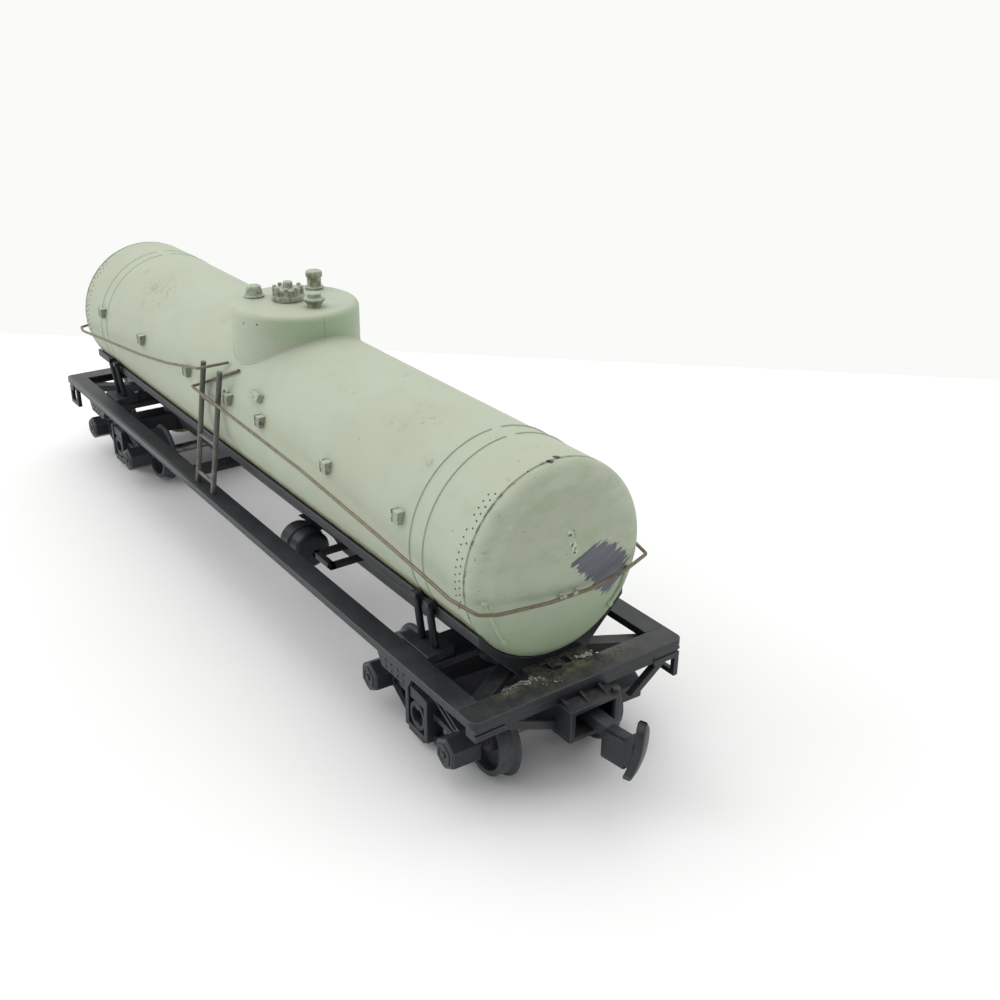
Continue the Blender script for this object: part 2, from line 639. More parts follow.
def take(piece):
    """Makes a piece the only selected and the active one."""
    deselect()
    piece.select_set(True)
    bpy.context.view_layer.objects.active = piece
    return piece


def open_edit(piece):
    """Edit mode with the whole piece selected."""
    take(piece)
    bpy.ops.object.mode_set(mode="EDIT")
    bpy.ops.mesh.select_mode(type="VERT")
    bpy.ops.mesh.select_all(action="SELECT")


def close_edit():
    bpy.ops.object.mode_set(mode="OBJECT")


def bake_place(piece):
    """Puts a finished object at the origin, unturned and unscaled, with its place in its mesh."""
    take(piece)
    bpy.ops.object.transform_apply(location=True, rotation=True, scale=True)
    return piece


def apply_modifier(piece, kind, **values):
    take(piece)
    modifier = piece.modifiers.new(kind.lower(), kind)
    for key, value in values.items():
        setattr(modifier, key, value)
    bpy.ops.object.modifier_apply(modifier=modifier.name)


def smooth(piece, angle=35):
    take(piece)
    bpy.ops.object.shade_smooth_by_angle(angle=math.radians(angle))


def slots(piece, count):
    while len(piece.data.materials) < count:
        piece.data.materials.append(None)


def dress(piece, name, body, finishes, replaces=()):
    """Names a finished piece, gives it its materials and sets it on its body."""
    piece.name = name
    piece.data.name = name
    slots(piece, len(finishes))
    for place, finish in enumerate(finishes):
        piece.data.materials[place] = MATERIALS[finish]
    bake_place(piece)
    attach(piece, body)
    if replaces:
        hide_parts(*replaces)
    return piece


def swell(piece, out):
    """Moves every face of a piece outward, in millimetres."""
    open_edit(piece)
    bpy.ops.transform.shrink_fatten(value=out * MM)
    close_edit()


def join(pieces):
    """Several meshes made one."""
    deselect()
    for piece in pieces:
        piece.select_set(True)
    bpy.context.view_layer.objects.active = pieces[0]
    bpy.ops.object.join()
    return bpy.context.object


def copy_of(piece, turn=0.0, move=(0, 0, 0), mirror=None):
    """A copy with its own mesh: mirrored, turned about the upright axis, then moved (millimetres)."""
    new = piece.copy()
    new.data = piece.data.copy()
    bpy.context.scene.collection.objects.link(new)
    place = Matrix.Translation(Vector(move) * MM) @ Matrix.Rotation(math.radians(turn), 4, "Z")
    if mirror:
        place = place @ Matrix.Scale(-1, 4, mirror)
    new.data.transform(place)
    if mirror:
        new.data.flip_normals()
    return new


def all_corners(piece):
    """A piece made at the front +Y corner, set at all four corners as one mesh."""
    across = copy_of(piece, mirror=Y)
    return join([piece, across, copy_of(piece, turn=180), copy_of(across, turn=180)])


def both_ends(piece):
    return join([piece, copy_of(piece, turn=180)])


def lathe(centre, axis, profile, segments=64):
    """A turned piece. The profile is (distance along the axis, radius) pairs in millimetres: a ring is
    extruded and resized from pair to pair, and an end with no radius is drawn to a point."""
    turn = Z.rotation_difference(axis).to_euler()
    place = Vector(centre) * MM
    start, radius = profile[0]
    tiny = 0.02
    piece = add("circle", vertices=segments, radius=max(radius, tiny) * MM, rotation=turn,
                location=place + axis * start * MM)
    bake_place(piece)
    open_edit(piece)
    for (was, was_radius), (now, now_radius) in zip(profile, profile[1:]):
        bpy.ops.mesh.extrude_region_move(TRANSFORM_OT_translate={"value": axis * (now - was) * MM})
        share = max(now_radius, tiny) / max(was_radius, tiny)
        middle = place + axis * now * MM
        bpy.ops.transform.resize(value=(share, share, share), center_override=middle)
    bpy.ops.mesh.select_all(action="DESELECT")
    bpy.ops.mesh.select_non_manifold()
    bpy.ops.mesh.fill_holes(sides=segments)
    bpy.ops.mesh.select_all(action="SELECT")
    bpy.ops.mesh.normals_make_consistent(inside=False)
    close_edit()
    return piece


def block(x, y, z, bevel=0.0):
    """A block between its (low, high) extents, its edges rounded."""
    sizes = [(b - a) * MM for a, b in (x, y, z)]
    middle = [(a + b) / 2 * MM for a, b in (x, y, z)]
    piece = add("cube", size=1, location=middle)
    piece.scale = sizes
    bake_place(piece)
    if bevel:
        round_edges(piece, bevel)
    return piece


def round_edges(piece, width, angle=30, edge_slot=-1):
    apply_modifier(piece, "BEVEL", width=width * MM, segments=2, limit_method="ANGLE",
                   angle_limit=math.radians(angle), use_clamp_overlap=False, material=edge_slot)


def tube(points, radius, segments=4):
    """A round bar or bent wire through points in millimetres, as a closed mesh."""
    curve = bpy.data.curves.new("tube", "CURVE")
    curve.dimensions = "3D"
    curve.bevel_depth = radius * MM
    curve.bevel_resolution = segments
    curve.use_fill_caps = True
    curve.resolution_u = 4
    line = curve.splines.new("NURBS")
    line.points.add(len(points) - 1)
    for point, place in zip(line.points, points):
        point.co = (*(Vector(place) * MM), 1)
    line.order_u = 3
    line.use_endpoint_u = True
    piece = bpy.data.objects.new("tube", curve)
    bpy.context.scene.collection.objects.link(piece)
    take(piece)
    bpy.ops.object.convert(target="MESH")
    piece = bpy.context.object
    smooth(piece, 50)
    return piece


def bent(corners, bend):
    """The corners of a wire, each with a point before and after it so that the bend stays short."""
    points = [Vector(corners[0])]
    for before, corner, after in zip(corners, corners[1:], corners[2:]):
        corner = Vector(corner)
        for other in (before, after):
            run = Vector(other) - corner
            reach = min(bend, run.length * 0.45)
            points.append(corner + run.normalized() * reach)
            if other is before:
                points.append(corner)
    points.append(Vector(corners[-1]))
    return points


def from_node(node, bevel=0.0, angle=30):
    """A clean copy of a CAD node: merged, its flat faces made whole and its edges rounded."""
    piece = bpy.data.objects.new(node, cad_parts[node].data.copy())
    bpy.context.scene.collection.objects.link(piece)
    open_edit(piece)
    bpy.ops.mesh.remove_doubles(threshold=0.002 * MM)
    bpy.ops.mesh.dissolve_limited(angle_limit=math.radians(1.0))
    close_edit()
    slots(piece, 2)
    if bevel:
        round_edges(piece, bevel, angle, edge_slot=1)
    smooth(piece, 38)
    apply_modifier(piece, "WEIGHTED_NORMAL", keep_sharp=True)
    return piece


def stand_on(piece, spot, out):
    """Sets a small piece made at the origin, facing up, on a surface: its +Z turned to face out."""
    turn = Z.rotation_difference(Vector(out)).to_matrix().to_4x4()
    piece.data.transform(Matrix.Translation(Vector(spot) * MM) @ turn)
    return piece


def on_tank(x, angle):
    """The way out and the place on the barrel at an angle round it, in degrees."""
    turn = math.radians(angle)
    out = Vector((0, math.cos(turn), math.sin(turn)))
    return out, (x, out.y * TANK_R, TANK_Z + out.z * TANK_R)


def renew(node, name, body, finishes, bevel, angle=30):
    """A node's clean copy, dressed as it is."""
    return dress(from_node(node, bevel, angle), name, body, finishes, [node])


# ------------------------------------------------------------------ the tank
HEAD_STEPS = 10               # rings on each of a head's two curves
TANK_SIDES = 160


def head_profile(knuckle):
    """(distance, radius) pairs of a dished head, from its seam to the middle of its crown."""
    depth = HEAD_END - TANK_END
    flat = TANK_R - knuckle
    crown = (depth ** 2 - knuckle ** 2 + flat ** 2) / (2 * (depth - knuckle))
    lean = math.asin(flat / (crown - knuckle))
    pairs = []
    end = math.pi / 2 - lean
    for step in range(HEAD_STEPS + 1):
        turn = end * step / HEAD_STEPS
        pairs.append((knuckle * math.sin(turn), flat + knuckle * math.cos(turn)))
    for step in range(1, HEAD_STEPS + 1):
        turn = lean * (1 - step / HEAD_STEPS)
        pairs.append((depth - crown + crown * math.cos(turn), crown * math.sin(turn)))
    return pairs


class TANKCAR_OT_tank(bpy.types.Operator):
    """Barrel and both heads as one smooth shell, with a groove at each head's seam"""
    bl_idname = "tankcar.tank"
    bl_label = "Tank shell"

    def execute(self, context):
        look = settings("tank")
        knuckle = look.knuckle / MM
        half_seam = look.seam_width / MM / 2
        depth = look.seam_depth / MM
        head = [(TANK_END + along, radius) for along, radius in head_profile(knuckle)]
        head[0] = (TANK_END + half_seam + 0.05, TANK_R - 0.01)      # the groove's far lip
        back, ahead = TANK_END - half_seam, TANK_END + half_seam
        seam = [(back - 0.06, TANK_R), (back, TANK_R - depth * 0.6), (back + 0.05, TANK_R - depth),
                (ahead - 0.05, TANK_R - depth), (ahead, TANK_R - depth * 0.5)]
        half = [(step * (TANK_END - 1) / 16, TANK_R) for step in range(17)] + seam + head
        profile = [(-along, radius) for along, radius in reversed(half[1:])] + half
        shell = lathe((0, 0, TANK_Z), X, profile, TANK_SIDES)
        smooth(shell, 40)
        dress(shell, "tank_shell", "car", ["tank_paint"], ["tank_barrel", "tank_heads"])
        return {"FINISHED"}


REAR_BAND_SINK = 0.995        # the rear bands stand out less
BAND_GAP = 3.4                # degrees between a half band's end and the crown
BAND_FOOT_OUT = 0.2
BAND_STEPS = 60
RIVET_ROWS = (0.95, 1.85)     # how far the rows of rivets lie from the head's seam
RIVET_START, RIVET_ARC = 128, 74                # degrees round the tank
RIVETS_GONE = 0.06            # share of the rivets that is missing
# thin strips low on a head's rim: (y, z) places, and radius
HEAD_STRIPS = (
    (((-12.3, 28.3), (-11.7, 26.8), (-11.1, 25.4), (-10.2, 23.4), (-9.3, 21.9)), 0.24),
    (((10.5, 26.4), (10.2, 25.1), (9.5, 23.5), (7.9, 22.0)), 0.3),
)


class TANKCAR_OT_tank_trim(bpy.types.Operator):
    """Tank bands, rivets beside the heads, brackets along the sides and strips on the heads"""
    bl_idname = "tankcar.tank_trim"
    bl_label = "Bands, rivets and brackets"

    def execute(self, context):
        self.bands()
        self.rivets()
        renew("side_brackets", "side_mouldings", "car", ["bracket", "bracket"], 0.08)
        strips = []
        for places, radius in HEAD_STRIPS:
            points = [(self.head_x(y, z) + radius * 0.6, y, z) for y, z in places]
            strips.append(tube(points, radius, 3))
            for x, y, z in (points[0], points[-1]):
                profile = [(-0.2, radius * 1.9), (0.25, radius * 1.7), (0.4, radius)]
                knob = lathe((x - 0.1, y, z), X, profile, 10)
                smooth(knob, 50)
                strips.append(knob)
        strips = both_ends(join(strips))
        dress(strips, "head_step_strips", "car", ["tank_paint"], ["head_strips"])
        renew("wire_clips", "wire_holders", "car", ["tank_paint", "tank_paint"], 0.1)
        return {"FINISHED"}

    def head_x(self, y, z):
        """Where a head's rounded rim is, at a given y and z."""
        knuckle = settings("tank").knuckle / MM
        beyond = math.hypot(y, z - TANK_Z) - (TANK_R - knuckle)
        return TANK_END + math.sqrt(knuckle ** 2 - max(0.0, beyond) ** 2)

    def bands(self):
        """Each half band is a bar bent round the tank, flattened, from its joint on the crown down."""
        look = settings("tank")
        lowest = math.degrees(math.asin((low("tank_bands").z - TANK_Z) / (TANK_R + BAND_FOOT_OUT)))
        start = 90 - BAND_GAP
        pieces = []
        centres = sorted({round(v.co.x / MM, 1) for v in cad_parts["tank_bands"].data.vertices
                          if v.co.x > 0})
        middle = (centres[0] + centres[-1]) / 2
        spans = [[c for c in centres if c < middle], [c for c in centres if c > middle]]
        radius = TANK_R + look.band_thick / MM * 0.2
        for span in spans:
            x = (min(span) + max(span)) / 2
            points = []
            for step in range(BAND_STEPS + 1):
                turn = math.radians(start - (start - lowest) * step / BAND_STEPS)
                points.append((x, radius * math.cos(turn), TANK_Z + radius * math.sin(turn)))
            bar = tube(points, look.band_width / MM / 2, 3)
            pieces += [bar, copy_of(bar, mirror=Y)]
        band = join(pieces)
        rear = copy_of(band, turn=180)
        axis = Matrix.Translation(Z * TANK_Z * MM)
        sunk = Matrix.Diagonal((1, REAR_BAND_SINK, REAR_BAND_SINK, 1))
        rear.data.transform(axis @ sunk @ axis.inverted())
        band = join([band, rear])
        dress(band, "tank_band_rims", "car", ["tank_paint"], ["tank_bands"])

    def rivets(self):
        """Two staggered rows of rivets round the barrel beside each head, on both sides."""
        look = settings("tank")
        radius = look.rivet / MM
        draw = random.Random(7)
        head = lathe((0, 0, 0), Z, [(-0.05, radius), (0.02, radius), (0.08, radius * 0.6)], 7)
        smooth(head, 60)
        step = math.degrees(look.rivet_step / MM / TANK_R)
        pieces = []
        for row, back in enumerate(RIVET_ROWS):
            for place in range(int(RIVET_ARC / step)):
                if draw.random() < RIVETS_GONE:
                    continue
                out, spot = on_tank(TANK_END - back, RIVET_START + (place + row * 0.5) * step)
                pieces.append(stand_on(copy_of(head), spot, out))
        bpy.data.objects.remove(head)
        dress(all_corners(join(pieces)), "rim_rivets", "car", ["chipped"])


MANWAY_STRETCH = 1.6          # the cover's bolts and boss stand this much taller
DOME_EDGE = 1.1               # radius of the dome's rounded rim
DOME_SIDES = 96
BEAD_R = 0.17                 # bead of weld round the dome's foot


class TANKCAR_OT_dome(bpy.types.Operator):
    """Dome with its rounded top, its foot fillet on the barrel, the manway cover and the three caps"""
    bl_idname = "tankcar.dome"
    bl_label = "Dome and its fittings"

    def execute(self, context):
        arc = [(DOME_TOP - DOME_EDGE + DOME_EDGE * math.sin(math.radians(a)),
                DOME_R - DOME_EDGE + DOME_EDGE * math.cos(math.radians(a))) for a in range(0, 91, 15)]
        crown = [(DOME_TOP, DOME_R * share) for share in (0.7, 0.45, 0.2, 0.0)]
        foot = TANK_Z + TANK_R * 0.55
        wall = [(foot, DOME_R), (TANK_Z + TANK_R - 4, DOME_R), (TANK_Z + TANK_R + 0.5, DOME_R)]
        dome = lathe((0, 0, 0), Z, wall + arc + crown, DOME_SIDES)
        smooth(dome, 40)
        weld = []
        out = DOME_R + 0.05
        for step in range(DOME_SIDES + 1):
            turn = math.radians(step * 360 / DOME_SIDES)
            y = out * math.sin(turn)
            weld.append((out * math.cos(turn), y, TANK_Z + math.sqrt(TANK_R ** 2 - y ** 2) - 0.02))
        dome = join([dome, tube(weld, BEAD_R, 3)])
        dress(dome, "dome_shell", "car", ["tank_paint"], ["dome"])
        cover = from_node("manway_cover", 0.12, 40)
        taller = Matrix.Translation(Z * DOME_TOP * MM) @ Matrix.Scale(MANWAY_STRETCH, 4, Z)
        cover.data.transform(taller @ Matrix.Translation(Z * -DOME_TOP * MM))
        dress(cover, "manway_lid", "car", ["fitting", "fitting"], ["manway_cover"])
        renew("dome_valve_caps", "valve_caps", "car", ["fitting", "fitting"], 0.08, 40)
        return {"FINISHED"}


# ------------------------------------------------------------------ wires and ladders
WIRE_OUT = TANK_R + 1.75
WIRE_FRONT = TANK_END + 4.6
# the wire's corners: behind the ladder, round before it, along the side, round the front head and back
WIRE_CORNERS = (
    (1.65, -11.5, 38.15), (-3.7, -13.05, 35.65), (-8.4, -13.8, 33.45), (-9.3, -WIRE_OUT, 33.0),
    (TANK_END * 0.43, -WIRE_OUT, 31.9), (TANK_END * 0.72, -WIRE_OUT + 0.05, 30.45),
    (TANK_END * 0.91, -WIRE_OUT + 0.15, 29.2), (TANK_END * 0.985, -WIRE_OUT + 0.35, 28.4),
    (WIRE_FRONT - 1.1, -WIRE_OUT + 1.45, 27.95), (WIRE_FRONT - 0.1, -11.7, 27.75),
    (WIRE_FRONT + 0.1, -3.8, 26.95), (WIRE_FRONT, 2.9, 26.75), (WIRE_FRONT - 0.3, 9.0, 27.45),
    (WIRE_FRONT - 2.2, WIRE_OUT - 1.05, 27.35), (TANK_END * 0.981, WIRE_OUT - 0.25, 27.6),
    (TANK_END * 0.79, WIRE_OUT - 0.05, 29.4), (TANK_END * 0.495, WIRE_OUT, 31.85),
    (TANK_END * 0.29, WIRE_OUT, 34.1), (5.7, WIRE_OUT, 37.15), (2.55, 11.4, 38.3),
)
# the front wire's far end hangs lower, behind the tank
LOW_END = ((TANK_END * 0.29, WIRE_OUT, 33.6), (5.7, WIRE_OUT, 35.3), (2.55, 12.4, 36.7))


class TANKCAR_OT_wires(bpy.types.Operator):
    """The two bent handrail wires"""
    bl_idname = "tankcar.wires"
    bl_label = "Handrail wires"

    def execute(self, context):
        look = settings("wire")
        low_end = WIRE_CORNERS[:-len(LOW_END)] + LOW_END
        front = tube(bent(low_end, look.bend / MM), look.radius / MM, 3)
        rear = tube(bent(WIRE_CORNERS, look.bend / MM), look.radius / MM, 3)
        rear.data.transform(Matrix.Rotation(math.pi, 4, "Z"))
        dress(front, "front_wire", "car", ["wire"], ["front_handrail"])
        dress(rear, "rear_wire", "car", ["wire"], ["rear_handrail"])
        return {"FINISHED"}


# the middle of a ladder's foot and head, half its width, its bars' radii, and its rungs' heights
LADDER_FOOT = Vector((-6.2, -16.0, BOARD_TOP - 0.05))
LADDER_HEAD = Vector((-3.2, -14.1, high("ladders").z))
LADDER_HALF = 3.2
STILE, RUNG = 0.48, 0.34
RUNG_Z = (17.6, 24.7, 31.8)
FAR_LADDER = 0.93             # the +Y ladder is this much of the other's height


class TANKCAR_OT_ladders(bpy.types.Operator):
    """Leaning ladders with three rungs, one on each side"""
    bl_idname = "tankcar.ladders"
    bl_label = "Ladders"

    def execute(self, context):
        lean = LADDER_HEAD - LADDER_FOOT
        pieces = []
        for way in (-1, 1):
            foot = LADDER_FOOT + X * LADDER_HALF * way
            pieces.append(lathe(foot, lean.normalized(), [(0, STILE), (lean.length, STILE)], 8))
        for z in RUNG_Z:
            place = LADDER_FOOT + lean * (z - LADDER_FOOT.z) / lean.z - X * LADDER_HALF
            pieces.append(lathe(place, X, [(0, RUNG), (LADDER_HALF * 2, RUNG)], 8))
        near = join(pieces)
        smooth(near, 50)
        far = copy_of(near, turn=180)
        for vertex in far.data.vertices:
            vertex.co.z = LADDER_FOOT.z * MM + (vertex.co.z - LADDER_FOOT.z * MM) * FAR_LADDER
        dress(join([near, far]), "side_ladders", "car", ["ladder"], ["ladders"])
        return {"FINISHED"}


# ------------------------------------------------------------------ frame, brake gear and couplers
# CAD node: the finished piece's name, and its edge rounding in millimetres
FRAME_PIECES = {
    "side_boards": ("running_boards", 0.12), "end_boards": ("end_platforms", 0.12),
    "end_sills": ("end_beams", 0.1), "centre_sill": ("centre_beam", 0.1),
    "draft_plates": ("draft_floor", 0.08),
    "tank_cradle": ("tank_saddle", 0.12), "body_bolsters": ("bolster_arms", 0.1),
    "bolster_webs": ("bolster_ends", 0.08), "bolster_pads": ("bolster_feet", 0.1),
    "corner_braces": ("diagonal_braces", 0.1), "cross_arms": ("ladder_arms", 0.1),
    "centre_plates": ("swivel_plates", 0.1), "brake_cylinder": ("brake_reservoir", 0.1),
    "brake_cylinder_bracket": ("reservoir_hanger", 0.1), "corner_steps": ("stirrup_steps", 0.1),
    "broken_strut": ("bent_strut", 0.1), "band_tie_rods": ("strap_rods", 0.0),
    "coupler_boxes": ("draft_boxes", 0.08), "coupler_box_covers": ("draft_box_floors", 0.08),
}


# the centre beam's deeper part between the middle and a truck: its extents, and its ends' slant
KEEL = ((17.0, 49.5), (-4.55, 4.55), (11.45, 13.0))
KEEL_TAPER = 4.0
ROD_SWELL = 0.16              # thick paint on the strap rods
CYLINDER_AHEAD = 1.2          # the reservoir stands this much further forward
CYLINDER_SHARE = 0.62         # the reservoir's length as a share of its solid's, kept from its front
ARM_BACK = 11.0               # the arms under the boards stand this much further from the ladders' feet
# the open bracket beside the reservoir: its extents along, across and up, and its bars' width
LEVER_GUIDE = ((21.9, 27.8), (-10.4, high("brake_lever_bracket").y), (12.8, 13.75))
LEVER_BAR = 1.05


class TANKCAR_OT_frame(bpy.types.Operator):
    """The moulded frame with rubbed, rounded edges"""
    bl_idname = "tankcar.frame"
    bl_label = "Frame"

    def execute(self, context):
        for node, (name, bevel) in FRAME_PIECES.items():
            piece = from_node(node, bevel)
            if node == "band_tie_rods":
                swell(piece, ROD_SWELL)
            if node == "brake_cylinder":
                front = high(node).x * MM
                for vertex in piece.data.vertices:
                    vertex.co.x = front + CYLINDER_AHEAD * MM + (vertex.co.x - front) * CYLINDER_SHARE
            if node == "cross_arms":
                for vertex in piece.data.vertices:
                    vertex.co.x += math.copysign(ARM_BACK, vertex.co.y) * MM
            dress(piece, name, "car", ["frame", "frame_edge"], [node])
        keel = block(*KEEL)
        lowest = KEEL[2][0] + 0.1
        middle = sum(KEEL[0]) / 2 * MM
        for vertex in keel.data.vertices:
            if vertex.co.z < lowest * MM:
                vertex.co.x += math.copysign(KEEL_TAPER * MM, middle - vertex.co.x)
        round_edges(keel, 0.12)
        dress(both_ends(keel), "keel_plates", "car", ["frame"])
        x, y, z = LEVER_GUIDE
        bar = LEVER_BAR
        bars = [block(x, (y[0], y[0] + bar), z, 0.1), block((x[1] - bar, x[1]), y, z, 0.1),
                block((x[0], x[0] + bar), y, z, 0.1)]
        dress(join(bars), "lever_guide", "car", ["frame"], ["brake_lever_bracket"])
        renew("king_pins", "swivel_pins", "car", ["pin", "pin"], 0.1)
        return {"FINISHED"}


# the hook coupler, measured from its pin: along its arm, across it and up
COUPLER_PIN = Vector((FRAME_END - 2.3, 0.0, 11.2))
COUPLER_YAW = 8.0             # its arm rests swung to +Y at the front
EYE = (0.9, 1.9, 0.9)         # bore radius, outer radius, half thickness
SHANK = ((1.3, 7.4), (-1.1, 1.1), (-0.9, 0.9))
SHANK_DROOP = 9.0
BLOCK = ((6.8, 10.8), (-1.95, 0.5), (-4.3, -0.35))
BLOCK_RIB = ((7.1, 10.6), (-1.3, 0.2), (-0.7, 0.05))
NECK = ((10.3, 12.0), (-1.9, 0.5), (-3.8, 0.25))
PLATE_AT = Vector((12.1, -0.65, -1.4))
PLATE_TURN = (-13.0, 7.0, 20.0)                 # degrees about along, across and up
PLATE_HALF = (0.6, 1.35, 3.85)                  # half thickness, half width, half height
PLATE_BEND = 26.0                               # its face falls back by height squared over this


class TANKCAR_OT_couplers(bpy.types.Operator):
    """The two hook couplers: eye, drooping shank, block and bent face plate"""
    bl_idname = "tankcar.couplers"
    bl_label = "Couplers"

    def execute(self, context):
        bore, outer, half = EYE
        eye = lathe((0, 0, 0), Z, [(-half, outer), (half, outer)], 32)
        cutter = lathe((0, 0, 0), Z, [(-half * 2, bore), (half * 2, bore)], 32)
        apply_modifier(eye, "BOOLEAN", object=cutter, operation="DIFFERENCE", solver="EXACT")
        bpy.data.objects.remove(cutter)
        shank = block(*SHANK, 0.15)
        shank.data.transform(Matrix.Rotation(math.radians(SHANK_DROOP), 4, "Y"))
        head = [block(*BLOCK, 0.3), block(*BLOCK_RIB, 0.2), block(*NECK, 0.3), self.plate()]
        arm = join([eye, shank] + head)
        smooth(arm, 38)
        place = Matrix.Translation(COUPLER_PIN * MM) @ Matrix.Rotation(math.radians(COUPLER_YAW), 4, "Z")
        arm.data.transform(place)
        for end, piece in (("front", arm), ("rear", copy_of(arm, turn=180))):
            node = end + "_coupler"
            dress(piece, end + "_hook_coupler", node + "_arm",
                  ["coupler", "coupler_edge"], [node])
        return {"FINISHED"}

    def plate(self):
        """The face plate: extruded up in steps, each moved back by the bend and drawn in at the ends."""
        thick, width, tall = PLATE_HALF
        piece = add("plane", size=1)
        steps = 24
        rows = []
        for step in range(steps + 1):
            z = -tall * math.cos(math.pi * step / steps)
            corner = max(0.0, abs(z) - (tall - width)) / width
            rows.append((z, -z * z / PLATE_BEND, max(0.3, math.sqrt(max(0.0, 1 - corner ** 2))) * width))
        piece.scale = (thick * 2 * MM, rows[0][2] * 2 * MM, 1)
        piece.location = (rows[0][1] * MM, 0, rows[0][0] * MM)
        bake_place(piece)
        open_edit(piece)
        for (z0, x0, w0), (z1, x1, w1) in zip(rows, rows[1:]):
            move = ((x1 - x0) * MM, 0, (z1 - z0) * MM)
            bpy.ops.mesh.extrude_region_move(TRANSFORM_OT_translate={"value": move})
            bpy.ops.transform.resize(value=(1, w1 / w0, 1), center_override=(0, 0, z1 * MM))
        bpy.ops.mesh.select_all(action="SELECT")
        bpy.ops.mesh.normals_make_consistent(inside=False)
        close_edit()
        slots(piece, 2)
        round_edges(piece, 0.2, 50, edge_slot=1)
        along, across, up = (Matrix.Rotation(math.radians(turn), 4, axis)
                             for turn, axis in zip(PLATE_TURN, "XYZ"))
        piece.data.transform(Matrix.Translation(PLATE_AT * MM) @ up @ across @ along)
        return piece


# ------------------------------------------------------------------ trucks
SPRING_BEVEL = 0.06


class TANKCAR_OT_trucks(bpy.types.Operator):
    """Side frames, springs and bolsters of both trucks"""
    bl_idname = "tankcar.trucks"
    bl_label = "Trucks"

    def execute(self, context):
        bevel = settings("truck").bevel / MM
        for end in ("front", "rear"):
            for part, name in (("side_frames", "side_castings"), ("springs", "leaf_springs"),
                               ("bolster", "cross_beam")):
                renew(f"{end}_truck_{part}", f"{end}_{name}", end + "_truck",
                      ["truck", "truck_edge"], SPRING_BEVEL if part == "springs" else bevel)
        return {"FINISHED"}


class TANKCAR_OT_wheels(bpy.types.Operator):
    """Turned wheels on steel axles"""
    bl_idname = "tankcar.wheels"
    bl_label = "Wheelsets"

    def execute(self, context):
        for end in ("front", "rear"):
            for place in ("outer", "inner"):
                body = f"{end}_{place}_wheelset"
                node = f"{end}_{place}"
                renew(node + "_wheels", body + "_tyres", body, ["wheel", "wheel"], 0.06,
                      25)
                renew(node + "_axle", body + "_shaft", body, ["steel", "steel"], 0.08)
        return {"FINISHED"}


# ------------------------------------------------------------------ small things
def lump(draw, radius, flat):
    """An irregular crumb about the origin, flattened on Z."""
    piece = add("ico_sphere", subdivisions=2, radius=radius * MM)
    wander = draw.random() * 10
    for vertex in piece.data.vertices:
        x, y = vertex.co.x / MM, vertex.co.y / MM
        wave = math.sin(x * 5 / radius + wander) + math.cos(y * 4 / radius + wander * 2)
        vertex.co *= 1 + 0.16 * wave
        vertex.co.z *= flat
    smooth(piece, 60)
    return piece


RIVET_HEAD = ((-0.05, 0.24), (0.05, 0.24), (0.13, 0.16), (0.15, 0.0))
WEB_RIVETS = [(x, z) for z in (13.1, 14.1) for x in (-2.2, -0.75, 0.75, 2.2)]
# raised rim and middle boss on a journal box's lid: (height, radius)
LID = ((-0.1, 1.75), (0.16, 1.68), (0.16, 1.25), (0.04, 1.15), (0.04, 0.55), (0.26, 0.48), (0.26, 0.0))
# crumbs of old glue on the front end board: (x, y, largest radius, how many)
CRUMBS = ((72.6, -5.9, 0.26, 26), (72.0, 4.1, 0.34, 16), (74.4, -3.0, 0.13, 12), (73.2, -9.5, 0.13, 10))
# flecks of light paint on the wire round the front head: how far along its front run, in y
WIRE_FLECKS = (-1.9, 0.3, 7.6)
KNOB = (71.2, -11.6, 27.7)    # a blob of paint on the front head's rim
LID_OUT = high("rear_truck_side_frames").y
SPARE_MOULDINGS = ((9.8, 153.0, 1.7), (-3.1, 164.5, 0.5))      # x, angle round the tank, half length


